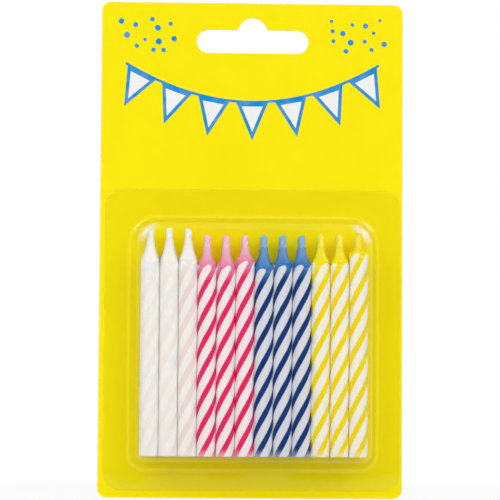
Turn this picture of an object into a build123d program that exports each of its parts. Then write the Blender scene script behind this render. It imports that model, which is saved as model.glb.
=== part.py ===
from build123d import *

import math
import os

# A carded pack of twenty-four spiral birthday candles, hung by its slot.
# The card stands in the XZ plane with its back at Y = 0 and its front towards -Y.
# The origin is the crown of the hang slot, where the peg bears. Sizes are in millimetres.

# Candle
candle_length = 60.0
candle_diameter = 4.94
rib_count = 4
rib_angle = 53.0
groove_depth = 0.15
twist_lead = 28.6
twist_steps = 15
tip_height = 4.7
shoulder_height = 0.5
shoulder_bite = 0.12
tip_wall = 0.15
tip_hollow = 0.36
wick_diameter = 1.85
wick_stub = 3.4
wick_fit = 0.03
wick_sides = 8

# How the candles lie: two rows, each with the colours side by side from left to right,
# each colour cut a little shorter than the longest one by its own amount,
# and each candle at its own chance turn about its axis, in degrees
colours = ("white", "pink", "blue", "yellow")
cut_short = (0.0, 1.7, 1.6, 1.1)
candles_per_colour = 3
row_count = 2
candle_gap = 0.06
row_gap = 0.12
card_gap = 0.15
candle_turns = (20, 65, 40, 10, 15, 73, 2, 4, 77, 27, 40, 30)
back_row_turn = 35.0

# Hang card
card_width = 81.0
card_height = 132.6
card_thickness = 0.5
card_corner = 2.6
slot_width = 30.0
slot_height = 6.3
crown_radius = 3.75
crown_rise = 3.3
crown_blend = 1.2
crown_below_top = 4.0

# Clear formed tray with its sealing flange
tray_wall = 0.3
tray_draft = 12.0
tray_shift = 0.6
tray_edge = 1.8
tray_top_corner = 5.4
tray_bottom_corner = 2.5
side_gap = 0.5
foot_gap = 1.0
head_gap = 0.9
front_gap = 0.3
candle_foot = 11.2
flange_width = 79.0
flange_height = 80.2
flange_corner = 4.7
flange_margin = 2.1
flange_shift = 0.4

# The card's edges and the rows, measured from the origin
card_top = crown_below_top
card_bottom = card_top - card_height
candle_pitch = candle_diameter + candle_gap
row_length = len(colours) * candles_per_colour * candle_pitch - candle_gap
row_depth = row_count * (candle_diameter + row_gap) - row_gap
foot_level = card_bottom + candle_foot

# The wax: ribs stand on a core, and the tip is turned from under the grooves to a thin wall round the wick
crest_radius = candle_diameter / 2
core_radius = crest_radius - groove_depth
shoulder_radius = core_radius - shoulder_bite
bore_radius = wick_diameter / 2 + wick_fit
tip_radius = bore_radius + tip_wall
waist_radius = (shoulder_radius + tip_radius) / 2 - tip_hollow

# Tray: its front is as large as the block of candles with gaps round it, and its walls open towards the card
draft = math.radians(tray_draft)
side_wall = tray_wall / math.cos(draft)
inner_depth = card_gap + row_depth + front_gap
tray_depth = inner_depth + tray_wall
inner_spread = inner_depth * math.tan(draft)
inner_width = row_length + 2 * side_gap + 2 * inner_spread
inner_height = candle_length + foot_gap + head_gap + 2 * inner_spread
inner_middle = foot_level - foot_gap - inner_spread + inner_height / 2
flange_middle = card_bottom + flange_margin + flange_height / 2

card_front = Plane.XZ.offset(card_thickness)


def tray_form(width, height, depth, shrink):
    """A drafted block that stands on the card, with its own corner radii at the top and the bottom."""
    opened = depth * math.tan(draft) - shrink
    with BuildPart() as form:
        with BuildSketch(card_front):
            with Locations((tray_shift, inner_middle)):
                Rectangle(width, height)
            fillet(vertices().group_by(Axis.Y)[-1], tray_top_corner + opened)
            fillet(vertices().group_by(Axis.Y)[0], tray_bottom_corner + opened)
        extrude(amount=depth, taper=tray_draft)
        fillet(faces().sort_by(Axis.Y)[0].edges(), tray_edge - shrink)
    return form


# Backing card with rounded corners and a hang slot whose crown sits on the middle of the peg
with BuildPart() as backing_card:
    with BuildSketch(Plane.XZ):
        with Locations((0, (card_top + card_bottom) / 2)):
            RectangleRounded(card_width, card_height, card_corner)
    extrude(amount=card_thickness)
    with BuildSketch(Plane.XZ) as hang_slot:
        with Locations((0, -crown_rise - slot_height / 2)):
            SlotOverall(slot_width, slot_height)
        with Locations((0, -crown_radius)):
            Circle(crown_radius)
        fillet(vertices().group_by(Axis.Y)[-1], crown_blend)
    extrude(amount=card_thickness, mode=Mode.SUBTRACT)

# Blister: the flange lies on the card, and the tray is one even sheet drawn out of it
tray_outside = tray_form(inner_width + 2 * side_wall, inner_height + 2 * side_wall, tray_depth, 0)
tray_inside = tray_form(inner_width, inner_height, inner_depth, tray_wall)
with BuildPart() as blister:
    with BuildSketch(card_front):
        with Locations((flange_shift, flange_middle)):
            RectangleRounded(flange_width, flange_height, flange_corner)
    extrude(amount=tray_wall)
    add(tray_outside.part)
    add(tray_inside.part, mode=Mode.SUBTRACT)


def wax_ring(level, twisted, crest, root):
    """One section of the wax, with a left root, a crest and a right root to each rib, turned by the twist."""
    points = []
    for rib in range(rib_count):
        middle = 360 * (twisted / twist_lead + rib / rib_count)
        for side, radius in ((-rib_angle / 2, root), (0, crest), (rib_angle / 2, root)):
            points.append(Vector(radius, 0, level).rotate(Axis.Z, middle + side))
    return points


def wax_body(length):
    """A ribbed bar twisted along its length, turned down to a hollow-sided tip and bored for the wick.
    It is faceted, because two dozen smooth twists would be very heavy."""
    wax_height = length - wick_stub
    shoulder_level = wax_height - tip_height
    tip_foot = shoulder_level + shoulder_height
    waist_level = (tip_foot + wax_height) / 2
    rings = []
    for step in range(twist_steps + 1):
        level = step * shoulder_level / twist_steps
        rings.append(wax_ring(level, level, crest_radius, core_radius))
    for level, radius in ((tip_foot, shoulder_radius), (waist_level, waist_radius), (wax_height, tip_radius)):
        rings.append(wax_ring(level, shoulder_level, radius, radius))
    facets = [Face(Wire.make_polygon(rings[0])), Face(Wire.make_polygon(rings[-1]))]
    for lower, upper in zip(rings, rings[1:]):
        for here in range(len(lower)):
            after = (here + 1) % len(lower)
            facets.append(Face(Wire.make_polygon((lower[here], lower[after], upper[here]))))
            facets.append(Face(Wire.make_polygon((lower[after], upper[after], upper[here]))))
    with BuildPart() as body:
        add(Solid(Shell(facets)))
        with BuildSketch():
            RegularPolygon(bore_radius, wick_sides, major_radius=False)
        extrude(amount=wax_height, mode=Mode.SUBTRACT)
    return body.part


def wick_cord(length):
    """A waxed cotton cord from the foot of the candle to its bare stub."""
    with BuildPart() as cord:
        with BuildSketch():
            RegularPolygon(wick_diameter / 2, wick_sides, major_radius=False)
        extrude(amount=length)
    return cord.part


def write(part, name):
    """Names a finished piece and writes it to its own file."""
    part.label = name
    export_step(part, f"parts/{name}.step")


os.makedirs("parts", exist_ok=True)
write(backing_card.part, "backing_card")
write(blister.part, "blister")

lengths = [candle_length - trim for trim in cut_short]
wax_bodies = [wax_body(length) for length in lengths]
wick_cords = [wick_cord(length) for length in lengths]

# Candles 1 to 3 of each colour lie in the front row and 4 to 6 behind them
for number in range(row_count * len(colours) * candles_per_colour):
    row, column = divmod(number, len(colours) * candles_per_colour)
    group, place = divmod(column, candles_per_colour)
    name = f"{colours[group]}_candle_{row * candles_per_colour + place + 1}"
    across = tray_shift - row_length / 2 + crest_radius + column * candle_pitch
    behind_front = crest_radius + row * (candle_diameter + row_gap)
    outwards = card_thickness + card_gap + row_depth - behind_front
    turn = candle_turns[column % len(candle_turns)] + row * back_row_turn
    with BuildPart() as wax:
        with Locations((across, -outwards, foot_level)):
            add(wax_bodies[group], rotation=(0, 0, turn))
    with BuildPart() as wick:
        with Locations((across, -outwards, foot_level)):
            add(wick_cords[group], rotation=(0, 0, turn))
    write(wax.part, f"{name}_wax")
    write(wick.part, f"{name}_wick")
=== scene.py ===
import bmesh
import bpy
import math
from mathutils import Euler, Matrix, Vector


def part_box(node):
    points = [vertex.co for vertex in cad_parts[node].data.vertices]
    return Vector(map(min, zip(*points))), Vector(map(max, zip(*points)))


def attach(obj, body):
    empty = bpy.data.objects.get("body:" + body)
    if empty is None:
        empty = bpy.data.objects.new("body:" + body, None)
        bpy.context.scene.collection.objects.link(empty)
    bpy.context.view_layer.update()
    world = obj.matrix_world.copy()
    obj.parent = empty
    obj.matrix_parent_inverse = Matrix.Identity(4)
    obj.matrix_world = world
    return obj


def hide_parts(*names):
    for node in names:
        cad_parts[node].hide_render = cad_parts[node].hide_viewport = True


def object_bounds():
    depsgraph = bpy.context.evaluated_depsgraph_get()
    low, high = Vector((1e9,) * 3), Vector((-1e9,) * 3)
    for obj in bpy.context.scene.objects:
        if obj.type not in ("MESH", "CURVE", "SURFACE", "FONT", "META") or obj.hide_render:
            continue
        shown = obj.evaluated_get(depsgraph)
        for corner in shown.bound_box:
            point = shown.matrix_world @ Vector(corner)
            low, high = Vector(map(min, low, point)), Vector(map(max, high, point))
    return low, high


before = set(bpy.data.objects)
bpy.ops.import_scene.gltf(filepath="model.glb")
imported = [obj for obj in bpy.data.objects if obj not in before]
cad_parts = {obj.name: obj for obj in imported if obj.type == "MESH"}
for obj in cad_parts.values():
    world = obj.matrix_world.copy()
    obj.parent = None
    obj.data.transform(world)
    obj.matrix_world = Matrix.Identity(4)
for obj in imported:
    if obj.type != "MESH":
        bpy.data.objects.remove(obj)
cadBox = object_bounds()
mm = 0.001
scene = bpy.context.scene
scene.view_settings.view_transform = "Standard"

colours = ("white", "pink", "blue", "yellow")
placesInRow = 3  # candles of one colour side by side
rowCount = 2
candleNumbers = range(1, rowCount * placesInRow + 1)
candleNames = [f"{colour}_candle_{number}" for colour in colours for number in candleNumbers]
mergeReach = 0.001 * mm
noiseRange = (0.3, 0.7)  # where nearly all of a noise's values lie


# Node helpers, for geometry and material trees alike
def tone(red, green, blue):
    # a screen colour, 0 to 255, as the linear colour that a socket takes
    linear = []
    for value in (red, green, blue):
        value /= 255
        linear.append(value / 12.92 if value <= 0.04045 else ((value + 0.055) / 1.055) ** 2.4)
    return (*linear, 1.0)


def plug(tree, socket, value):
    if isinstance(value, bpy.types.NodeSocket):
        tree.links.new(value, socket)
    else:
        socket.default_value = value


def addNode(tree, kind, inputs=None, **settings):
    node = tree.nodes.new(kind)
    for name, value in settings.items():
        setattr(node, name, value)
    for name, value in (inputs or {}).items():
        plug(tree, node.inputs[name], value)
    return node


def calc(tree, operation, *values):
    node = addNode(tree, "ShaderNodeMath", operation=operation)
    for socket, value in zip(node.inputs, values):
        plug(tree, socket, value)
    return node.outputs[0]


def ramp(tree, value, fromMin, fromMax, toMin=0.0, toMax=1.0, smooth=False):
    inputs = {"Value": value, "From Min": fromMin, "From Max": fromMax, "To Min": toMin, "To Max": toMax}
    kind = "SMOOTHSTEP" if smooth else "LINEAR"
    return addNode(tree, "ShaderNodeMapRange", inputs, interpolation_type=kind).outputs[0]


def blendValue(tree, factor, first, second):
    # first where factor is 0, second where it is 1
    return calc(tree, "ADD", first, calc(tree, "MULTIPLY", factor, calc(tree, "SUBTRACT", second, first)))


def mixColour(tree, factor, first, second, blend="MIX"):
    node = addNode(tree, "ShaderNodeMix", data_type="RGBA", blend_type=blend)
    for socket, value in ((0, factor), (6, first), (7, second)):  # 6 and 7 are its colour sockets
        plug(tree, node.inputs[socket], value)
    return node.outputs[2]


def joinXyz(tree, x=0.0, y=0.0, z=0.0):
    return addNode(tree, "ShaderNodeCombineXYZ", {"X": x, "Y": y, "Z": z}).outputs[0]


def noise(tree, vector, scale, detail=2.0, seed=0.0):
    inputs = {"Vector": vector, "W": seed, "Scale": scale, "Detail": detail}
    return addNode(tree, "ShaderNodeTexNoise", inputs, noise_dimensions="4D").outputs[0]


# Geometry trees: made once, run on an empty object for each piece, kept as a plain mesh
def newTree(name, sizes):
    tree = bpy.data.node_groups.new(name, "GeometryNodeTree")
    for label in sizes:
        tree.interface.new_socket(name=label, in_out="INPUT", socket_type="NodeSocketFloat")
    tree.interface.new_socket(name="Material", in_out="INPUT", socket_type="NodeSocketMaterial")
    tree.interface.new_socket(name="Geometry", in_out="OUTPUT", socket_type="NodeSocketGeometry")
    return tree, tree.nodes.new("NodeGroupInput").outputs


def endTree(tree, geometry, material, smooth=True):
    real = addNode(tree, "GeometryNodeRealizeInstances", {"Geometry": geometry}).outputs[0]
    faces = addNode(tree, "GeometryNodeSetShadeSmooth", {"Geometry": real, "Shade Smooth": smooth}).outputs[0]
    painted = addNode(tree, "GeometryNodeSetMaterial", {"Geometry": faces, "Material": material}).outputs[0]
    tree.links.new(painted, tree.nodes.new("NodeGroupOutput").inputs[0])


def storeValue(tree, geometry, name, value):
    inputs = {"Geometry": geometry, "Name": name, "Value": value}
    return addNode(tree, "GeometryNodeStoreNamedAttribute", inputs, data_type="FLOAT").outputs[0]


def growMesh(name, tree, inputs):
    piece = bpy.data.objects.new(name, bpy.data.meshes.new(name))
    scene.collection.objects.link(piece)
    modifier = piece.modifiers.new("grow", "NODES")
    modifier.node_group = tree
    for item in tree.interface.items_tree:
        if item.in_out == "INPUT":
            modifier[item.identifier] = inputs[item.name]
    graph = bpy.context.evaluated_depsgraph_get()
    mesh = bpy.data.meshes.new_from_object(piece.evaluated_get(graph))
    piece.modifiers.remove(modifier)
    piece.data = mesh
    return piece


# Materials
def newMaterial(name):
    material = bpy.data.materials.new(name)
    material.use_nodes = True
    tree = material.node_tree
    tree.nodes.clear()
    place = tree.nodes.new("ShaderNodeTexCoord").outputs["Object"]
    return material, tree, place


def endMaterial(tree, shader):
    tree.links.new(shader, addNode(tree, "ShaderNodeOutputMaterial").inputs["Surface"])


def bumpFrom(tree, height, distance, strength=1.0):
    inputs = {"Height": height, "Distance": distance, "Strength": strength}
    return addNode(tree, "ShaderNodeBump", inputs).outputs[0]


def readValue(tree, name):
    return addNode(tree, "ShaderNodeAttribute", attribute_name=name).outputs["Fac"]


def mixShader(tree, factor, first, second):
    node = addNode(tree, "ShaderNodeMixShader", {"Fac": factor})
    tree.links.new(first, node.inputs[1])
    tree.links.new(second, node.inputs[2])
    return node.outputs[0]


waxLook = {
    "white": {"rib": tone(248, 244, 240), "dye": tone(245, 240, 233), "tip": tone(248, 244, 239),
              "pale": 0.0},
    "blush": {"rib": tone(248, 242, 239), "dye": tone(243, 227, 222), "tip": tone(248, 242, 238),
              "pale": 0.0},
    "pink": {"rib": tone(249, 238, 240), "dye": tone(234, 42, 110), "tip": tone(238, 150, 182),
             "pale": 0.35},
    "blue": {"rib": tone(225, 227, 234), "dye": tone(20, 62, 128), "tip": tone(66, 134, 200),
             "pale": 0.15},
    "yellow": {"rib": tone(248, 243, 232), "dye": tone(250, 224, 2), "tip": tone(252, 232, 8),
               "pale": 0.04},
    "grain": 900.0,
    "cloud": (0.96, 1.0),
    "bleed": 2200.0,
    "bleedReach": 0.12,
    "ribEdge": (0.15, 0.85),
    "tipPale": (0.2, 1.0),  # where the tip turns to its palest, from its foot to its top
    "roughness": (0.36, 0.5),
    "bump": (0.03 * mm, 0.6),  # depth and strength
    "bleedBump": 0.4,
    "relief": 0.1 * mm,  # how high the ribs look
    "ior": 1.44,
    "gloss": 0.2,
    "scatter": 1.0,
    "scatterDepth": 0.8 * mm,
    "scatterColour": (1.0, 0.8, 0.7),
    "scatterEnd": (0.15, 0.6),  # where scattering dies out on the tip
}


def waxMaterial(colour):
    material, tree, place = newMaterial(f"{colour}Wax")
    look = waxLook[colour]
    cover, tip = readValue(tree, "ribCover"), readValue(tree, "tipFade")
    grain = noise(tree, place, waxLook["grain"], detail=3.0)
    bleed = noise(tree, place, waxLook["bleed"], seed=3.0)
    # the dye creeps unevenly under the edges of the ribs
    reach = waxLook["bleedReach"]
    edge = calc(tree, "ADD", cover, ramp(tree, bleed, *noiseRange, -reach, reach))
    rib = ramp(tree, edge, *waxLook["ribEdge"], smooth=True)
    palest = mixColour(tree, look["pale"], look["tip"], waxLook["white"]["rib"])
    tipColour = mixColour(tree, ramp(tree, tip, *waxLook["tipPale"]), look["tip"], palest)
    dye = mixColour(tree, readValue(tree, "dyeFade"), look["dye"], tipColour)
    pale = calc(tree, "MAXIMUM", rib, readValue(tree, "footPale"))
    colourOut = mixColour(tree, pale, dye, look["rib"])
    cloud = ramp(tree, grain, *noiseRange, *waxLook["cloud"])
    grey = addNode(tree, "ShaderNodeCombineColor", {"Red": cloud, "Green": cloud, "Blue": cloud}).outputs[0]
    shaded = mixColour(tree, 1.0, colourOut, grey, "MULTIPLY")
    uneven = calc(tree, "ADD", grain, calc(tree, "MULTIPLY", bleed, waxLook["bleedBump"]))
    bump = bumpFrom(tree, uneven, *waxLook["bump"])
    ribbed = addNode(tree, "ShaderNodeBump", {"Height": cover, "Distance": waxLook["relief"], "Normal": bump})
    shader = addNode(tree, "ShaderNodeBsdfPrincipled", {
        "Base Color": shaded, "Roughness": ramp(tree, grain, *noiseRange, *waxLook["roughness"]),
        "Normal": ribbed.outputs[0], "IOR": waxLook["ior"], "Specular IOR Level": waxLook["gloss"],
        "Subsurface Weight": ramp(tree, tip, *waxLook["scatterEnd"], waxLook["scatter"], 0.0),
        "Subsurface Scale": waxLook["scatterDepth"], "Subsurface Radius": waxLook["scatterColour"]})
    endMaterial(tree, shader.outputs[0])
    return material


wickLook = {
    "white": tone(248, 245, 240),
    "pink": tone(250, 200, 216),
    "blue": tone(140, 184, 226),
    "yellow": tone(255, 241, 60),
    "waxShare": 0.25,  # how much of the wax's colour lies between the strands
    "fibre": 3200.0,
    "fibreShift": 0.2,
    "roughness": (0.55, 0.8),
    "bump": (0.04 * mm, 0.8),
    "sheen": 0.2,
}


def wickMaterial(colour):
    material, tree, place = newMaterial(f"{colour}Wick")
    fibre = noise(tree, place, wickLook["fibre"], detail=3.0)
    deep = mixColour(tree, wickLook["waxShare"], wickLook[colour], waxLook[colour]["tip"])
    shift = wickLook["fibreShift"]
    shown = calc(tree, "ADD", readValue(tree, "strandCrest"), ramp(tree, fibre, *noiseRange, -shift, shift))
    colourOut = mixColour(tree, ramp(tree, shown, 0.0, 1.0), deep, wickLook[colour])
    shader = addNode(tree, "ShaderNodeBsdfPrincipled", {
        "Base Color": colourOut, "Roughness": ramp(tree, fibre, *noiseRange, *wickLook["roughness"]),
        "Normal": bumpFrom(tree, fibre, *wickLook["bump"]), "Sheen Weight": wickLook["sheen"]})
    endMaterial(tree, shader.outputs[0])
    return material


# Candles: one tree makes every wax body, another every wick
candle = {
    "turns": (20, 65, 40, 10, 15, 73, 2, 4, 77, 27, 40, 30),  # front row from left to right, in degrees
    "backRowTurn": 35,
    "shoulderShift": {  # mm
        "white_candle_1": -1.3, "white_candle_2": -1.4, "white_candle_3": -0.9, "pink_candle_1": -0.3,
        "pink_candle_2": -0.5, "pink_candle_3": 0.9, "blue_candle_1": -1.2, "yellow_candle_3": 2.5},
    "blushed": ("white_candle_3",),  # its grooves are faintly pink in the photo
    "columns": 80,
    "outerRows": 170,
    "boreRows": 30,
    "barShare": 0.74,  # share of the rows on the ribbed bar
    "closeRows": 0.8 * mm,  # how far below the shoulder the rows get closer
    "ribCount": 4,
    "ribAngle": 54.0,
    "ribRound": 0.7,
    "lead": 28.6 * mm,
    "crestRadius": 2.497 * mm,
    "swell": (1.06, 1.011),  # wider than round, then flat where the neighbours press
    "grooveDepth": 0.05 * mm,
    "tipHeight": 4.7 * mm,
    "shoulderHeight": 0.7 * mm,
    "shoulderRadius": 2.2 * mm,
    "shoulderBlend": 0.05 * mm,
    "tipRadius": 1.03 * mm,
    "tipCurve": {"white": 1.7, "pink": 2.5, "blue": 2.5, "yellow": 2.5},
    "boreRadius": 0.955 * mm,
    "footBevel": 0.14 * mm,
    "wobble": 0.006 * mm,
    "wobbleScale": 1.3,
    "wobbleAlong": 180.0,  # how fast it changes along the candle
    "ragged": 0.7 * mm,  # how far the ends of the ribs differ
    "raggedScale": 1.1,
    "finger": 0.8 * mm,  # how much lower a rib ends at its sides
    "fingerReach": 1.2,  # from the crest, in half ribs
    "cutStart": 0.15 * mm,  # how far below the shoulder the ribs begin to end
    "coverEdge": (0.8, 1.16),  # where the dye takes over from a rib, in half ribs
    "coverEnd": (-0.1 * mm, 0.4 * mm),  # the same at the rib's end, from the shoulder
    "footPale": (2.2 * mm, 0.5),  # height and strength
    "dyeFade": (4.0 * mm, 0.5 * mm),  # below and above the shoulder, where the dye pales to the tip
}


def wrapGrid(tree, columns, rows):
    # a grid whose columns go round an axis: its mesh, and the angle and row of each point
    grid = addNode(tree, "GeometryNodeMeshGrid", {"Vertices X": columns + 1, "Vertices Y": rows + 1})
    split = addNode(tree, "ShaderNodeSeparateXYZ", {"Vector": grid.outputs["UV Map"]}).outputs
    theta = calc(tree, "MULTIPLY", split["X"], 2 * math.pi)
    return grid.outputs["Mesh"], theta, calc(tree, "MULTIPLY", split["Y"], rows)


def closeGrid(tree, mesh, sizes, sideways, outwards, level):
    # puts a wrapped grid round its candle's axis and closes its seam
    position = joinXyz(tree, calc(tree, "ADD", sizes["Across"], sideways),
                      calc(tree, "ADD", sizes["Outwards"], outwards), calc(tree, "ADD", sizes["Foot"], level))
    placed = addNode(tree, "GeometryNodeSetPosition", {"Geometry": mesh, "Position": position}).outputs[0]
    inputs = {"Geometry": placed, "Distance": mergeReach}
    return addNode(tree, "GeometryNodeMergeByDistance", inputs).outputs[0]


def waxSurface(tree, sizes, theta, level, ribTop):
    # the outside radius, and how much of the dye a rib covers
    half = math.pi / candle["ribCount"]
    aside = calc(tree, "ABSOLUTE", calc(tree, "WRAP", theta, half, -half))
    offCrest = calc(tree, "DIVIDE", aside, math.radians(candle["ribAngle"] / 2))
    bulge = calc(tree, "SUBTRACT", 1.0, calc(tree, "POWER", offCrest, 2.0))
    lobe = calc(tree, "POWER", calc(tree, "MAXIMUM", bulge, 0.0), candle["ribRound"])
    crest, core = candle["crestRadius"], candle["crestRadius"] - candle["grooveDepth"]
    bar = calc(tree, "ADD", core, calc(tree, "MULTIPLY", lobe, crest - core))
    # the turned tip hollows to the wick
    tipFoot = calc(tree, "ADD", ribTop, candle["shoulderHeight"])
    tipLength = calc(tree, "SUBTRACT", sizes["Wax Height"], tipFoot)
    above = calc(tree, "DIVIDE", calc(tree, "SUBTRACT", level, tipFoot), tipLength)
    rest = calc(tree, "SUBTRACT", 1.0, calc(tree, "MAXIMUM", above, 0.0))
    hollow = calc(tree, "POWER", calc(tree, "MAXIMUM", rest, 0.0), sizes["Tip Curve"])
    shoulder, tipRadius = candle["shoulderRadius"], candle["tipRadius"]
    cone = calc(tree, "ADD", tipRadius, calc(tree, "MULTIPLY", hollow, shoulder - tipRadius))
    # it cuts the ribs off at uneven heights, lower at their sides
    x, y = calc(tree, "COSINE", theta), calc(tree, "SINE", theta)
    uneven = noise(tree, joinXyz(tree, x, y), candle["raggedScale"], detail=1.0, seed=sizes["Seed"])
    ragged = calc(tree, "MULTIPLY", ramp(tree, uneven, *noiseRange, -0.5, 0.5), candle["ragged"])
    slope = calc(tree, "POWER", calc(tree, "MINIMUM", offCrest, candle["fingerReach"]), 2.0)
    finger = calc(tree, "MULTIPLY", slope, candle["finger"])
    cutLevel = calc(tree, "ADD", level, calc(tree, "ADD", ragged, finger))
    cutStart = calc(tree, "SUBTRACT", ribTop, candle["cutStart"])
    cut = ramp(tree, cutLevel, cutStart, tipFoot, crest - shoulder, 0.0, True)
    outer = calc(tree, "SMOOTH_MIN", bar, calc(tree, "ADD", cone, cut), candle["shoulderBlend"])
    # small unevenness, only ever inwards, and a bevel at the foot
    along = calc(tree, "MULTIPLY", level, candle["wobbleAlong"])
    wobble = noise(tree, joinXyz(tree, x, y, along), candle["wobbleScale"], seed=sizes["Seed"])
    outer = calc(tree, "SUBTRACT", outer, calc(tree, "MULTIPLY", wobble, candle["wobble"]))
    bevel = candle["footBevel"]
    outer = calc(tree, "SUBTRACT", outer, ramp(tree, level, 0.0, bevel, bevel, 0.0, True))
    pastShoulder = calc(tree, "SUBTRACT", cutLevel, ribTop)
    cover = calc(tree, "MULTIPLY", ramp(tree, offCrest, *candle["coverEdge"], 1.0, 0.0, True),
                 ramp(tree, pastShoulder, *candle["coverEnd"], 1.0, 0.0, True))
    return outer, cover


def makeWaxTree():
    tree, sizes = newTree("waxTree", (
        "Across", "Outwards", "Foot", "Wax Height", "Tip Height", "Tip Curve", "Turn", "Seed"))
    outerRows = candle["outerRows"]
    rows = 1 + outerRows + candle["boreRows"]  # foot at the bore, outside going up, bore going down
    mesh, theta, row = wrapGrid(tree, candle["columns"], rows)
    inBore = calc(tree, "GREATER_THAN", row, outerRows + 0.5)
    atBore = calc(tree, "ADD", inBore, calc(tree, "LESS_THAN", row, 0.5))
    height = sizes["Wax Height"]
    ribTop = calc(tree, "SUBTRACT", height, sizes["Tip Height"])
    barTop = calc(tree, "SUBTRACT", ribTop, candle["closeRows"])
    lastBarRow = 1 + candle["barShare"] * (outerRows - 1)
    bar = ramp(tree, row, 1.0, lastBarRow, 0.0, barTop)
    tip = ramp(tree, row, lastBarRow, float(outerRows), 0.0, calc(tree, "SUBTRACT", height, barTop))
    down = ramp(tree, row, outerRows + 1.0, float(rows), height, 0.0)
    level = blendValue(tree, inBore, calc(tree, "ADD", bar, tip), down)
    outer, cover = waxSurface(tree, sizes, theta, level, ribTop)
    radius = blendValue(tree, atBore, outer, candle["boreRadius"])
    twist = calc(tree, "MULTIPLY", calc(tree, "MINIMUM", level, ribTop), 2 * math.pi / candle["lead"])
    angle = calc(tree, "ADD", calc(tree, "ADD", theta, twist), sizes["Turn"])
    crest = candle["crestRadius"]
    swellX, swellY = candle["swell"]
    sideways = calc(tree, "MULTIPLY", calc(tree, "MULTIPLY", radius, swellX), calc(tree, "COSINE", angle))
    sideways = calc(tree, "MINIMUM", calc(tree, "MAXIMUM", sideways, -crest), crest)
    outwards = calc(tree, "MULTIPLY", calc(tree, "MULTIPLY", radius, swellY), calc(tree, "SINE", angle))
    fadeBelow, fadeAbove = candle["dyeFade"]
    paleHeight, paleStrength = candle["footPale"]
    values = {
        "ribCover": calc(tree, "MULTIPLY", cover, calc(tree, "SUBTRACT", 1.0, atBore)),
        "tipFade": ramp(tree, level, ribTop, height),
        "dyeFade": ramp(tree, calc(tree, "SUBTRACT", level, ribTop), -fadeBelow, fadeAbove),
        "footPale": ramp(tree, level, 0.0, paleHeight, paleStrength, 0.0, True)}
    for name, value in values.items():
        mesh = storeValue(tree, mesh, name, value)
    endTree(tree, closeGrid(tree, mesh, sizes, sideways, outwards, level), sizes["Material"])
    return tree


wick = {
    "columns": 30,
    "stubRows": 34,
    "stubLength": 5.0 * mm,
    "radius": 0.925 * mm,
    "strandCount": 3,
    "strandDepth": 0.16 * mm,
    "lay": 5.5 * mm,
    "fibreDepth": 0.05 * mm,
    "fibreScale": 1.6,
    "fibreAlong": 700.0,  # how fast it changes along the wick
    "endRound": 0.35 * mm,
    "endFray": 0.25 * mm,
    "frayLength": 1.0 * mm,
}


def makeWickTree():
    tree, sizes = newTree("wickTree", ("Across", "Outwards", "Foot", "Length", "Turn", "Seed"))
    rows = wick["stubRows"] + 2  # foot centre, foot edge, stub, top centre
    mesh, theta, row = wrapGrid(tree, wick["columns"], rows)
    stubFoot = calc(tree, "SUBTRACT", sizes["Length"], wick["stubLength"])
    level = calc(tree, "ADD", ramp(tree, row, 1.0, 2.0, 0.0, stubFoot),
                 ramp(tree, row, 2.0, rows - 1.0, 0.0, wick["stubLength"]))
    onStub = calc(tree, "GREATER_THAN", row, 2.5)
    # the strands wind round each other where they show
    upStub = calc(tree, "MAXIMUM", calc(tree, "SUBTRACT", level, stubFoot), 0.0)
    lay = calc(tree, "MULTIPLY", upStub, 2 * math.pi / wick["lay"])
    wave = calc(tree, "ABSOLUTE", calc(tree, "SINE", calc(tree, "MULTIPLY", theta, wick["strandCount"] / 2)))
    hollow = calc(tree, "MULTIPLY", calc(tree, "SUBTRACT", 1.0, wave), wick["strandDepth"])
    along = calc(tree, "MULTIPLY", level, wick["fibreAlong"])
    where = joinXyz(tree, calc(tree, "COSINE", theta), calc(tree, "SINE", theta), along)
    rough = noise(tree, where, wick["fibreScale"], detail=3.0, seed=sizes["Seed"])
    radius = calc(tree, "SUBTRACT", wick["radius"], calc(tree, "MULTIPLY", hollow, onStub))
    radius = calc(tree, "SUBTRACT", radius, calc(tree, "MULTIPLY", rough, wick["fibreDepth"]))
    fromEnd = calc(tree, "SUBTRACT", sizes["Length"], level)
    rounded = ramp(tree, fromEnd, 0.0, wick["endRound"], wick["endRound"], 0.0, True)
    radius = calc(tree, "SUBTRACT", radius, rounded)
    # both ends close on the axis
    closed = calc(tree, "ADD", calc(tree, "LESS_THAN", row, 0.5), calc(tree, "GREATER_THAN", row, rows - 0.5))
    radius = calc(tree, "MULTIPLY", radius, calc(tree, "SUBTRACT", 1.0, closed))
    fray = calc(tree, "MULTIPLY", ramp(tree, fromEnd, 0.0, wick["frayLength"], wick["endFray"], 0.0), rough)
    angle = calc(tree, "ADD", calc(tree, "ADD", theta, lay), sizes["Turn"])
    sideways = calc(tree, "MULTIPLY", radius, calc(tree, "COSINE", angle))
    outwards = calc(tree, "MULTIPLY", radius, calc(tree, "SINE", angle))
    mesh = storeValue(tree, mesh, "strandCrest", wave)
    frayed = calc(tree, "SUBTRACT", level, fray)
    endTree(tree, closeGrid(tree, mesh, sizes, sideways, outwards, frayed), sizes["Material"])
    return tree


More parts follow.
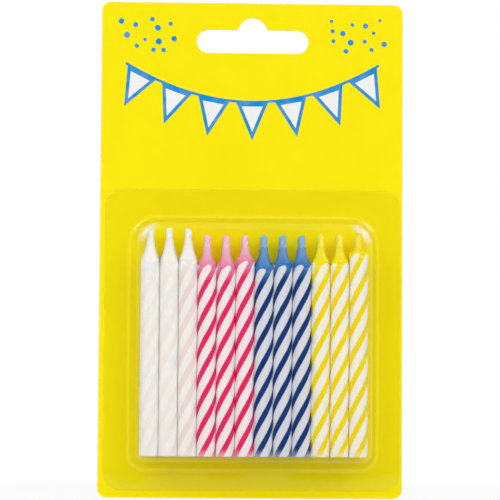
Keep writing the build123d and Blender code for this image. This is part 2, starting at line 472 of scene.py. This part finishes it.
def makeCandles():
    waxTree, wickTree = makeWaxTree(), makeWickTree()
    waxMaterials = {colour: waxMaterial(colour) for colour in (*colours, "blush")}
    wickMaterials = {colour: wickMaterial(colour) for colour in colours}
    for index, name in enumerate(candleNames):
        colour, number = name.split("_candle_")
        row, place = divmod(int(number) - 1, placesInRow)
        column = colours.index(colour) * placesInRow + place
        turn = candle["turns"][column] + row * candle["backRowTurn"]
        low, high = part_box(f"{name}_wax")
        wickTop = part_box(f"{name}_wick")[1].z
        shift = candle["shoulderShift"].get(name, 0.0) * mm
        look = "blush" if name in candle["blushed"] else colour
        common = {
            "Across": (low.x + high.x) / 2, "Outwards": (low.y + high.y) / 2, "Foot": low.z,
            "Turn": math.radians(turn), "Seed": float(index)}
        wax = growMesh(f"{name}_wax_body", waxTree, {
            **common, "Wax Height": high.z - low.z, "Tip Height": candle["tipHeight"] - shift,
            "Tip Curve": candle["tipCurve"][colour], "Material": waxMaterials[look]})
        cord = growMesh(f"{name}_wick_cord", wickTree, {
            **common, "Length": wickTop - low.z, "Material": wickMaterials[colour]})
        for piece, node, slot in ((wax, "wax", f"{colour}_wax"), (cord, "wick", "wick_cotton")):
            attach(piece, name)
            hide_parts(f"{name}_{node}")


makeCandles()
print("candles:", len(candleNames))


# Blister: one clear sheet drawn into a tray, with its flange on the card
blister = {
    "wall": 0.28 * mm,
    "lift": 0.02 * mm,  # keeps the flange off the card's printed face
    "draft": 12.0,
    "edge": 1.8 * mm,
    "root": 0.9 * mm,
    "topCorner": 5.4 * mm,
    "bottomCorner": 2.5 * mm,
    "sideGap": 0.5 * mm,
    "footGap": 1.0 * mm,
    "headGap": 0.9 * mm,
    "flangeCorner": 4.7 * mm,
    "flangeRings": ((0.0, 0.08 * mm, 1.0), (0.1 * mm, 0.0, 1.0), (0.5 * mm, 0.0, 0.0)),  # inset, drop, bend
    "rootRun": 0.5 * mm,  # flat strip round the root
    "rootBend": 0.6,
    "wallShares": (0.08, 0.35, 0.65, 0.92),  # where rings lie on the wall
    "wallBend": 0.1,
    "frontRings": ((0.4 * mm, 0.2), (0.9 * mm, 0.0)),  # inset and bend
    "cornerSteps": 12,
    "sideSteps": 14,
    "arcSteps": 8,
}
blisterLook = {
    "clear": tone(255, 255, 255),
    "sealed": tone(253, 253, 252),  # where the flange is sealed to the card
    # the white of the bends' haze and of the painted corner glints
    "hazeAndGlintWhite": tone(245, 246, 246),
    "gloss": (0.025, 0.05),
    "ripple": 70.0,
    "rippleBump": (0.4 * mm, 0.35),  # depth and strength
    "scuff": 900.0,
    "scuffRange": (0.45, 0.75),
    # faint white on every bend: partly stretch whitening, partly painted highlight
    "haze": 0.008,
    "bendGloss": 0.2,
    # how strong the painted white glint is on each top corner
    "paintedCornerGlint": (0.45, 0.32),  # top right, top left
    "brokenRange": (0.35, 0.6),
    "brokenGlint": (0.6, 1.0),
    "ior": 1.35,
}


def blisterMaterial():
    material, tree, place = newMaterial("clearSheet")
    bend = readValue(tree, "sheetBend")
    ripple = noise(tree, place, blisterLook["ripple"])
    scuff = noise(tree, place, blisterLook["scuff"], detail=3.0, seed=2.0)
    normal = bumpFrom(tree, ripple, *blisterLook["rippleBump"])
    tint = mixColour(tree, readValue(tree, "sealed"), blisterLook["clear"], blisterLook["sealed"])
    clear = addNode(tree, "ShaderNodeBsdfTransparent", {"Color": tint}).outputs[0]
    rough = ramp(tree, scuff, *blisterLook["scuffRange"], *blisterLook["gloss"])
    rough = calc(tree, "ADD", rough, calc(tree, "MULTIPLY", bend, blisterLook["bendGloss"]))
    gloss = addNode(tree, "ShaderNodeBsdfAnisotropic", {"Roughness": rough, "Normal": normal}).outputs[0]
    # only the side that a ray enters by reflects, because the sheet doesn't bend the ray
    leaving = tree.nodes.new("ShaderNodeNewGeometry").outputs["Backfacing"]
    mirror = addNode(tree, "ShaderNodeFresnel", {"IOR": blisterLook["ior"], "Normal": normal}).outputs[0]
    mirror = calc(tree, "MULTIPLY", mirror, calc(tree, "SUBTRACT", 1.0, leaving))
    sheet = mixShader(tree, mirror, clear, gloss)
    # the bends get a faint milky haze, partly stretch whitening and partly painted highlight, and each top
    # corner a stronger painted white glint, broken up by the scuffs
    broken = ramp(tree, scuff, *blisterLook["brokenRange"], *blisterLook["brokenGlint"])
    paintedGlint = calc(tree, "MULTIPLY", readValue(tree, "paintedCornerGlint"), broken)
    glintAndHaze = calc(tree, "ADD", paintedGlint, calc(tree, "MULTIPLY", bend, blisterLook["haze"]))
    hazeAndGlintWhite = addNode(tree, "ShaderNodeBsdfDiffuse", {"Color": blisterLook["hazeAndGlintWhite"]}).outputs[0]
    endMaterial(tree, mixShader(tree, glintAndHaze, sheet, hazeAndGlintWhite))
    return material


def roundedOutline(left, right, bottom, top, topCorner, bottomCorner):
    # points anticlockwise from the bottom right corner, seen from the front
    corners = (
        (right - bottomCorner, bottom + bottomCorner, bottomCorner, -90),
        (right - topCorner, top - topCorner, topCorner, 0),
        (left + topCorner, top - topCorner, topCorner, 90),
        (left + bottomCorner, bottom + bottomCorner, bottomCorner, 180))
    points = []
    for middleX, middleZ, radius, start in corners:
        arc = []
        for step in range(blister["cornerSteps"] + 1):
            angle = math.radians(start + 90 * step / blister["cornerSteps"])
            arc.append((middleX + radius * math.cos(angle), middleZ + radius * math.sin(angle)))
        if points:
            points += straightRun(points[-1], arc[0])
        points += arc
    return points + straightRun(points[-1], points[0])


def straightRun(start, end):
    # the points between two ends of a straight side
    run = []
    for step in range(1, blister["sideSteps"]):
        share = step / blister["sideSteps"]
        run.append((start[0] + share * (end[0] - start[0]), start[1] + share * (end[1] - start[1])))
    return run


def paintedCornerGlint(index, bend):
    # painted glint: strongest in the middle of a top corner's front bend
    steps, run = blister["cornerSteps"], blister["sideSteps"]
    for corner, strength in zip((1, 2), blisterLook["paintedCornerGlint"]):
        along = index - corner * (steps + run)
        if bend == 1.0 and 0 < along < steps:
            return strength * math.sin(math.pi * along / steps)
    return 0.0


def blisterSection(depth, sheetTop):
    # from the flange to the front, as (inset from the base outline, height over the card, bend)
    draft = math.radians(blister["draft"])
    root, edge, steps = blister["root"], blister["edge"], blister["arcSteps"]
    rootMiddle = (root - (sheetTop + root) * math.sin(draft)) / math.cos(draft)
    section = [(rootMiddle + blister["rootRun"], sheetTop, 0.0)]
    for step in range(steps + 1):
        angle = math.radians(270 - ((90 - blister["draft"]) * step / steps))
        inset, height = rootMiddle + root * math.cos(angle), sheetTop + root + root * math.sin(angle)
        section.append((inset, height, blister["rootBend"]))
    edgeMiddle = (-edge - (depth - edge) * math.sin(draft)) / math.cos(draft)
    wallTop = (edgeMiddle + edge * math.cos(draft), depth - edge + edge * math.sin(draft))
    wallFoot = section[-1]
    for share in blister["wallShares"]:
        inset = wallFoot[0] + share * (wallTop[0] - wallFoot[0])
        height = wallFoot[1] + share * (wallTop[1] - wallFoot[1])
        section.append((inset, height, blister["wallBend"]))
    for step in range(steps + 1):
        angle = draft + (math.pi / 2 - draft) * step / steps
        section.append((edgeMiddle + edge * math.cos(angle), depth - edge + edge * math.sin(angle), 1.0))
    for inset, bend in blister["frontRings"]:
        section.append((edgeMiddle - inset, depth, bend))
    return section


def blisterRings(cadLow, cadHigh, depth, sheetTop):
    # from the flange's rim to the front, as (outline, height over the card, bend)
    waxBoxes = [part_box(f"{name}_wax") for name in candleNames]
    boxes = waxBoxes + [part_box(f"{name}_wick") for name in candleNames]
    axes = [(low.x + high.x) / 2 for low, high in waxBoxes]
    draft = math.radians(blister["draft"])
    opened = depth * math.tan(draft)
    spread = (depth - sheetTop) * math.tan(draft) + sheetTop / math.cos(draft)
    aside = candle["crestRadius"] + blister["sideGap"] + spread
    left, right = min(axes) - aside, max(axes) + aside
    bottom = min(low.z for low, high in boxes) - blister["footGap"] - spread
    top = max(high.z for low, high in boxes) + blister["headGap"] + spread
    rings = []
    for inset, drop, bend in blister["flangeRings"]:
        corner = blister["flangeCorner"] - inset
        outline = roundedOutline(
            cadLow.x + inset, cadHigh.x - inset, cadLow.z + inset, cadHigh.z - inset, corner, corner)
        rings.append((outline, sheetTop - drop, bend))
    for inset, height, bend in blisterSection(depth, sheetTop):
        outline = roundedOutline(
            left - inset, right + inset, bottom - inset, top + inset,
            blister["topCorner"] + opened + inset, blister["bottomCorner"] + opened + inset)
        rings.append((outline, height, bend))
    return rings


def makeBlister():
    cadLow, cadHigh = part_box("blister")
    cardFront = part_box("backing_card")[0].y
    depth = cardFront - cadLow.y
    sheetTop = blister["wall"] + blister["lift"]
    mesh = bpy.data.meshes.new("clear_blister")
    form = bmesh.new()
    layers = form.verts.layers.float
    bendLayer, paintedGlintLayer, sealLayer = (layers.new(name) for name in ("sheetBend", "paintedCornerGlint", "sealed"))
    loops = []
    for outline, height, bend in blisterRings(cadLow, cadHigh, depth, sheetTop):
        loop = []
        for index, (x, z) in enumerate(outline):
            vert = form.verts.new((x, cardFront - height, z))
            vert[bendLayer] = bend
            vert[sealLayer] = 1.0 if height <= sheetTop else 0.0
            # each top corner's front bend carries a painted glint
            vert[paintedGlintLayer] = paintedCornerGlint(index, bend) if height > depth / 2 else 0.0
            loop.append(vert)
        loops.append(loop)
    for lower, upper in zip(loops, loops[1:]):
        for here in range(len(lower)):
            after = (here + 1) % len(lower)
            form.faces.new((lower[here], lower[after], upper[after], upper[here]))
    form.faces.new(loops[-1])
    bmesh.ops.recalc_face_normals(form, faces=form.faces)
    form.normal_update()
    front = min(form.faces, key=lambda face: face.calc_center_median().y)
    if front.normal.y > 0:
        bmesh.ops.reverse_faces(form, faces=form.faces)
    for face in form.faces:
        face.smooth = True
    form.to_mesh(mesh)
    form.free()
    piece = bpy.data.objects.new("clear_blister", mesh)
    scene.collection.objects.link(piece)
    thick = piece.modifiers.new("thickness", "SOLIDIFY")
    thick.thickness = blister["wall"]
    thick.offset = -1
    mesh.materials.append(blisterMaterial())
    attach(piece, "pack")
    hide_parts("blister")


makeBlister()
print("blister: formed sheet")


# Card: the CAD piece keeps its shape and gets a printed face, a plain back and pale cut edges
cardLook = {
    "print": tone(253, 234, 4),
    "deepPrint": tone(250, 231, 2),
    "board": tone(238, 236, 230),
    "back": tone(226, 224, 217),
    "cloud": tone(204, 199, 188),
    "cloudShare": 0.16,
    "fleck": tone(178, 170, 156),
    "fleckScale": 620.0,
    "fleckRange": (0.56, 0.72),
    "fleckShare": 0.6,
    "fibre": 1400.0,
    "mottle": 45.0,
    "mottleRange": (0.35, 0.65),
    "faceReach": 0.03 * mm,  # how near a face counts as on it
    "wornEdge": 0.35 * mm,
    "wornShift": 0.15 * mm,
    "wornShare": 0.4,
    "backRoughness": 0.85,
    "printRoughness": (0.45, 0.58),
    "gloss": 0.05,
    "bump": (0.02 * mm, 0.5),  # depth and strength
}


def cardMaterial():
    material, tree, place = newMaterial("printedCard")
    low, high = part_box("backing_card")
    at = addNode(tree, "ShaderNodeSeparateXYZ", {"Vector": place}).outputs
    onFront = calc(tree, "LESS_THAN", at["Y"], low.y + cardLook["faceReach"])
    onBack = calc(tree, "GREATER_THAN", at["Y"], high.y - cardLook["faceReach"])
    fibre = noise(tree, place, cardLook["fibre"], detail=4.0)
    mottle = noise(tree, place, cardLook["mottle"], detail=3.0, seed=5.0)
    deep = ramp(tree, mottle, *cardLook["mottleRange"])
    ink = mixColour(tree, deep, cardLook["print"], cardLook["deepPrint"])
    # rubbed paler along the cut edges
    sideways = calc(tree, "SUBTRACT", high.x, calc(tree, "ABSOLUTE", at["X"]))
    fromTop, fromBottom = calc(tree, "SUBTRACT", high.z, at["Z"]), calc(tree, "SUBTRACT", at["Z"], low.z)
    nearest = calc(tree, "MINIMUM", sideways, calc(tree, "MINIMUM", fromTop, fromBottom))
    shift = cardLook["wornShift"]
    inwards = calc(tree, "ADD", nearest, ramp(tree, fibre, *noiseRange, -shift, shift))
    worn = ramp(tree, inwards, 0.0, cardLook["wornEdge"], cardLook["wornShare"], 0.0, True)
    printed = mixColour(tree, worn, ink, cardLook["board"])
    # clouds and flecks in the bare board
    plain = mixColour(tree, onBack, cardLook["board"], cardLook["back"])
    cloud = ramp(tree, mottle, *noiseRange, 0.0, cardLook["cloudShare"])
    fleck = noise(tree, place, cardLook["fleckScale"], detail=5.0, seed=8.0)
    speck = ramp(tree, fleck, *cardLook["fleckRange"], 0.0, cardLook["fleckShare"])
    bare = mixColour(tree, speck, mixColour(tree, cloud, plain, cardLook["cloud"]), cardLook["fleck"])
    printRough = ramp(tree, fibre, *noiseRange, *cardLook["printRoughness"])
    shader = addNode(tree, "ShaderNodeBsdfPrincipled", {
        "Base Color": mixColour(tree, onFront, bare, printed),
        "Roughness": blendValue(tree, onFront, cardLook["backRoughness"], printRough),
        "Specular IOR Level": cardLook["gloss"], "Normal": bumpFrom(tree, fibre, *cardLook["bump"])})
    endMaterial(tree, shader.outputs[0])
    return material


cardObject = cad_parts["backing_card"]
cardObject.data.materials.clear()
cardObject.data.materials.append(cardMaterial())
print("card: printed face")

# Print on the header: a plain string of pennants and some confetti, as flat ink
bunting = {
    "left": (-34.0 * mm, -12.5 * mm),
    "middle": (0.0, -33.0 * mm),
    "right": (34.0 * mm, -12.5 * mm),
    "steps": 48,
    "count": 7,
    "trim": 0.07,
    "width": 8.6 * mm,
    "height": 10.4 * mm,
    "fill": 0.66,  # the white field inside each blue border
    "string": 0.35 * mm,
    "stringSides": 8,
    "stringFlat": 0.05,
    "ink": 0.03 * mm,
    "confettiField": (15.0 * mm, 9.0 * mm),
    "confettiMiddle": (28.5 * mm, -4.6 * mm),
    "confettiSpacing": 2.6 * mm,
    "confettiDensity": 4.0e5,
    "confettiSize": (0.35 * mm, 0.85 * mm),
    "confettiSides": 20,
    "confettiSeeds": (4, 9),  # left and right of the hang slot
}
inkLook = {
    "blue": tone(10, 140, 212),
    "white": tone(240, 240, 240),
    "thinShare": 0.12,
    "mottle": 260.0,
    "mottleRange": (0.4, 0.7),
    "roughness": (0.42, 0.55),
    "gloss": 0.05,
    "bump": (0.02 * mm, 0.4),  # depth and strength
}


def inkMaterial(colour):
    material, tree, place = newMaterial(f"{colour}Ink")
    mottle = noise(tree, place, inkLook["mottle"], detail=3.0)
    thin = mixColour(tree, inkLook["thinShare"], inkLook[colour], cardLook["board"])
    colourOut = mixColour(tree, ramp(tree, mottle, *inkLook["mottleRange"]), inkLook[colour], thin)
    shader = addNode(tree, "ShaderNodeBsdfPrincipled", {
        "Base Color": colourOut, "Roughness": ramp(tree, mottle, *noiseRange, *inkLook["roughness"]),
        "Specular IOR Level": inkLook["gloss"], "Normal": bumpFrom(tree, mottle, *inkLook["bump"])})
    endMaterial(tree, shader.outputs[0])
    return material


def movedGeometry(tree, geometry, translation=(0, 0, 0), rotation=(0, 0, 0), scale=(1, 1, 1)):
    inputs = {"Geometry": geometry, "Translation": translation, "Rotation": rotation, "Scale": scale}
    return addNode(tree, "GeometryNodeTransform", inputs).outputs[0]


def unitPrism(tree, sides):
    inputs = {"Vertices": sides, "Radius": 1.0, "Depth": 1.0}
    return addNode(tree, "GeometryNodeMeshCylinder", inputs).outputs["Mesh"]


def makeBuntingTree():
    # drawn flat in XY with the ink's thickness along Z, then stood up on the card
    tree, sizes = newTree("buntingTree", ("Share", "Ink", "String", "Confetti", "Front"))
    line = addNode(tree, "GeometryNodeCurveQuadraticBezier", {
        "Resolution": bunting["steps"], "Start": (*bunting["left"], 0), "Middle": (*bunting["middle"], 0),
        "End": (*bunting["right"], 0)}).outputs[0]
    trimmed = addNode(tree, "GeometryNodeTrimCurve", {
        "Curve": line, "Start": bunting["trim"], "End": 1 - bunting["trim"]}, mode="FACTOR").outputs[0]
    spots = addNode(tree, "GeometryNodeCurveToPoints", {"Curve": trimmed, "Count": bunting["count"]}).outputs
    # a three-sided prism with its point down and its top edge on the string
    flag = movedGeometry(tree, unitPrism(tree, 3), rotation=(0, 0, math.radians(-90)))
    flag = movedGeometry(tree, flag, scale=joinXyz(tree, sizes["Share"], sizes["Share"], sizes["Ink"]))
    width, height = bunting["width"], bunting["height"]
    flag = movedGeometry(tree, flag, (0, -height / 3, 0), scale=(width / math.sqrt(3), height / 1.5, 1))
    way = addNode(tree, "ShaderNodeSeparateXYZ", {"Vector": spots["Tangent"]}).outputs
    lean = calc(tree, "ARCTAN2", way["Y"], way["X"])
    flags = addNode(tree, "GeometryNodeInstanceOnPoints", {
        "Points": spots["Points"], "Instance": flag, "Rotation": joinXyz(tree, z=lean)}).outputs[0]
    profile = addNode(tree, "GeometryNodeCurvePrimitiveCircle", {
        "Resolution": bunting["stringSides"], "Radius": sizes["String"]}).outputs[0]
    cord = addNode(tree, "GeometryNodeCurveToMesh", {
        "Curve": line, "Profile Curve": profile, "Fill Caps": True}).outputs[0]
    cord = movedGeometry(tree, cord, scale=(1, 1, bunting["stringFlat"]))
    joined = addNode(tree, "GeometryNodeJoinGeometry")
    for geometry in (flags, cord, *confetti(tree, sizes)):
        tree.links.new(geometry, joined.inputs[0])
    stood = movedGeometry(tree, joined.outputs[0], joinXyz(tree, y=sizes["Front"]), (math.radians(90), 0, 0))
    endTree(tree, stood, sizes["Material"], smooth=False)
    return tree


def confetti(tree, sizes):
    # small discs on each side of the hang slot
    fields = []
    width, height = bunting["confettiField"]
    middleX, middleY = bunting["confettiMiddle"]
    for side, seed in zip((-1, 1), bunting["confettiSeeds"]):
        field = addNode(tree, "GeometryNodeMeshGrid", {"Size X": width, "Size Y": height}).outputs["Mesh"]
        field = movedGeometry(tree, field, (side * middleX, middleY, 0))
        spots = addNode(tree, "GeometryNodeDistributePointsOnFaces", {
            "Mesh": field, "Distance Min": bunting["confettiSpacing"],
            "Density Max": bunting["confettiDensity"], "Seed": seed}, distribute_method="POISSON")
        spread = addNode(tree, "FunctionNodeRandomValue", {"Seed": seed}, data_type="FLOAT")
        spread.inputs[2].default_value, spread.inputs[3].default_value = bunting["confettiSize"]
        size = calc(tree, "MULTIPLY", spread.outputs[1], sizes["Confetti"])
        fields.append(addNode(tree, "GeometryNodeInstanceOnPoints", {
            "Points": spots.outputs["Points"], "Instance": unitPrism(tree, bunting["confettiSides"]),
            "Scale": joinXyz(tree, size, size, sizes["Ink"])}).outputs[0])
    return fields


def makeBunting():
    tree = makeBuntingTree()
    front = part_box("backing_card")[0].y
    # half of each ink lies inside the card, and the white is the thicker
    blue = {"Share": 1.0, "Ink": 2 * bunting["ink"], "String": bunting["string"], "Confetti": 1.0}
    white = {"Share": bunting["fill"], "Ink": 3 * bunting["ink"], "String": 0.0, "Confetti": 0.0}
    for colour, sizes in (("blue", blue), ("white", white)):
        inputs = {**sizes, "Front": front, "Material": inkMaterial(colour)}
        piece = growMesh(f"bunting_{colour}", tree, inputs)
        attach(piece, "pack")


makeBunting()
print("header print: pennants and confetti")

# Floor, world and lights
stage = {
    "reach": 3.0,
    "sides": 64,
    "floor": tone(236, 236, 235),
    "frontEdge": 0.2,
    "near": 0.15,
    "far": 0.23,
    "nearWhite": 0.88,
    "ambient": 0.52,
    "behindCamera": 0.02,
    "mirrorTurn": (-0.4, 0.5),  # from the room behind the camera to the background
}


def makeStage():
    mesh = bpy.data.meshes.new("studio_floor")
    form = bmesh.new()
    bmesh.ops.create_circle(form, cap_ends=True, segments=stage["sides"], radius=stage["reach"])
    form.to_mesh(mesh)
    form.free()
    mesh.transform(Matrix.Translation((0, stage["reach"] - stage["frontEdge"], cadBox[0].z)))
    floor = bpy.data.objects.new("studio_floor", mesh)
    scene.collection.objects.link(floor)
    material, tree, place = newMaterial("paleFloor")
    path = tree.nodes.new("ShaderNodeLightPath").outputs
    seen = calc(tree, "MAXIMUM", path["Is Camera Ray"], calc(
        tree, "MAXIMUM", path["Is Glossy Ray"], path["Is Transmission Ray"]))
    matte = addNode(tree, "ShaderNodeBsdfDiffuse", {"Color": stage["floor"]}).outputs[0]
    white = addNode(tree, "ShaderNodeEmission", {"Strength": 1.0}).outputs[0]
    # the floor pales to the white of the background away from the object
    away = addNode(tree, "ShaderNodeVectorMath", {0: place}, operation="LENGTH").outputs["Value"]
    pale = ramp(tree, away, stage["near"], stage["far"], stage["nearWhite"], 1.0, True)
    endMaterial(tree, mixShader(tree, calc(tree, "MULTIPLY", seen, pale), matte, white))
    mesh.materials.append(material)


def makeWorld():
    world = bpy.data.worlds.new("studio")
    scene.world = world
    world.use_nodes = True
    tree = world.node_tree
    tree.nodes.clear()
    path = tree.nodes.new("ShaderNodeLightPath").outputs
    way = tree.nodes.new("ShaderNodeTexCoord").outputs["Generated"]
    at = addNode(tree, "ShaderNodeSeparateXYZ", {"Vector": way}).outputs
    # reflections see the white background, and a dark room behind the camera
    mirrored = ramp(tree, at["Y"], *stage["mirrorTurn"], stage["behindCamera"], 1.0, True)
    reflected = calc(tree, "MAXIMUM", path["Is Glossy Ray"], path["Is Transmission Ray"])
    strength = blendValue(tree, reflected, stage["ambient"], mirrored)
    strength = blendValue(tree, path["Is Camera Ray"], strength, 1.0)
    background = addNode(tree, "ShaderNodeBackground", {"Color": (1, 1, 1, 1), "Strength": strength})
    tree.links.new(background.outputs[0], addNode(tree, "ShaderNodeOutputWorld").inputs["Surface"])


lights = {  # the front and back lamps make no glare, and the glints only that
    "frontSoftbox": {"place": (0.02, -0.78, 0.03), "size": 0.5, "power": 1.6,
                     "diffuse": True, "gloss": False},
    "backSoftbox": {"place": (-0.4, 0.75, 0.3), "size": 0.5, "power": 2.6,
                    "diffuse": True, "gloss": False},
    "rightSoftbox": {"place": (0.42, -0.55, 0.38), "size": 0.34, "power": 1.1,
                     "diffuse": True, "gloss": True},
    "leftSoftbox": {"place": (-0.46, -0.55, 0.36), "size": 0.34, "power": 0.9,
                    "diffuse": True, "gloss": True},
    "rightGlint": {"place": (0.6, -0.42, 0.54), "size": 0.3, "power": 9.0,
                   "diffuse": False, "gloss": True},
    "leftGlint": {"place": (-0.62, -0.42, 0.5), "size": 0.3, "power": 6.5,
                  "diffuse": False, "gloss": True},
}


def makeLights():
    aim = (cadBox[0] + cadBox[1]) / 2
    for name, setup in lights.items():
        lamp = bpy.data.lights.new(name, "AREA")
        lamp.shape = "DISK"
        lamp.size = setup["size"]
        lamp.energy = setup["power"]
        light = bpy.data.objects.new(name, lamp)
        scene.collection.objects.link(light)
        light.visible_diffuse = setup["diffuse"]
        light.visible_glossy = setup["gloss"]
        light.location = setup["place"]
        light.rotation_euler = (aim - light.location).to_track_quat("-Z", "Y").to_euler()


# Camera: a long lens a little below the middle of the card
view = {
    "target": (-0.36 * mm, -0.5 * mm, -62.53 * mm),
    "distance": 620 * mm,
    "yaw": 1.99,
    "pitch": -3.91,
    "roll": 0.37,
    "lens": 167.08,
    "sensor": 36.0,
    "clipStart": 0.01,
}


def makeCamera():
    data = bpy.data.cameras.new("photoView")
    data.lens = view["lens"]
    data.sensor_width = view["sensor"]
    data.clip_start = view["clipStart"]
    camera = bpy.data.objects.new("photoView", data)
    scene.collection.objects.link(camera)
    turn = Euler((math.radians(90 - view["pitch"]), 0, math.radians(-view["yaw"]))).to_matrix().to_4x4()
    turn = turn @ Matrix.Rotation(math.radians(view["roll"]), 4, "Z")
    back = turn.to_3x3() @ Vector((0, 0, view["distance"]))
    camera.matrix_world = Matrix.Translation(Vector(view["target"]) + back) @ turn
    scene.camera = camera


makeStage()
makeWorld()
makeLights()
makeCamera()
print("stage, lights and camera: set")
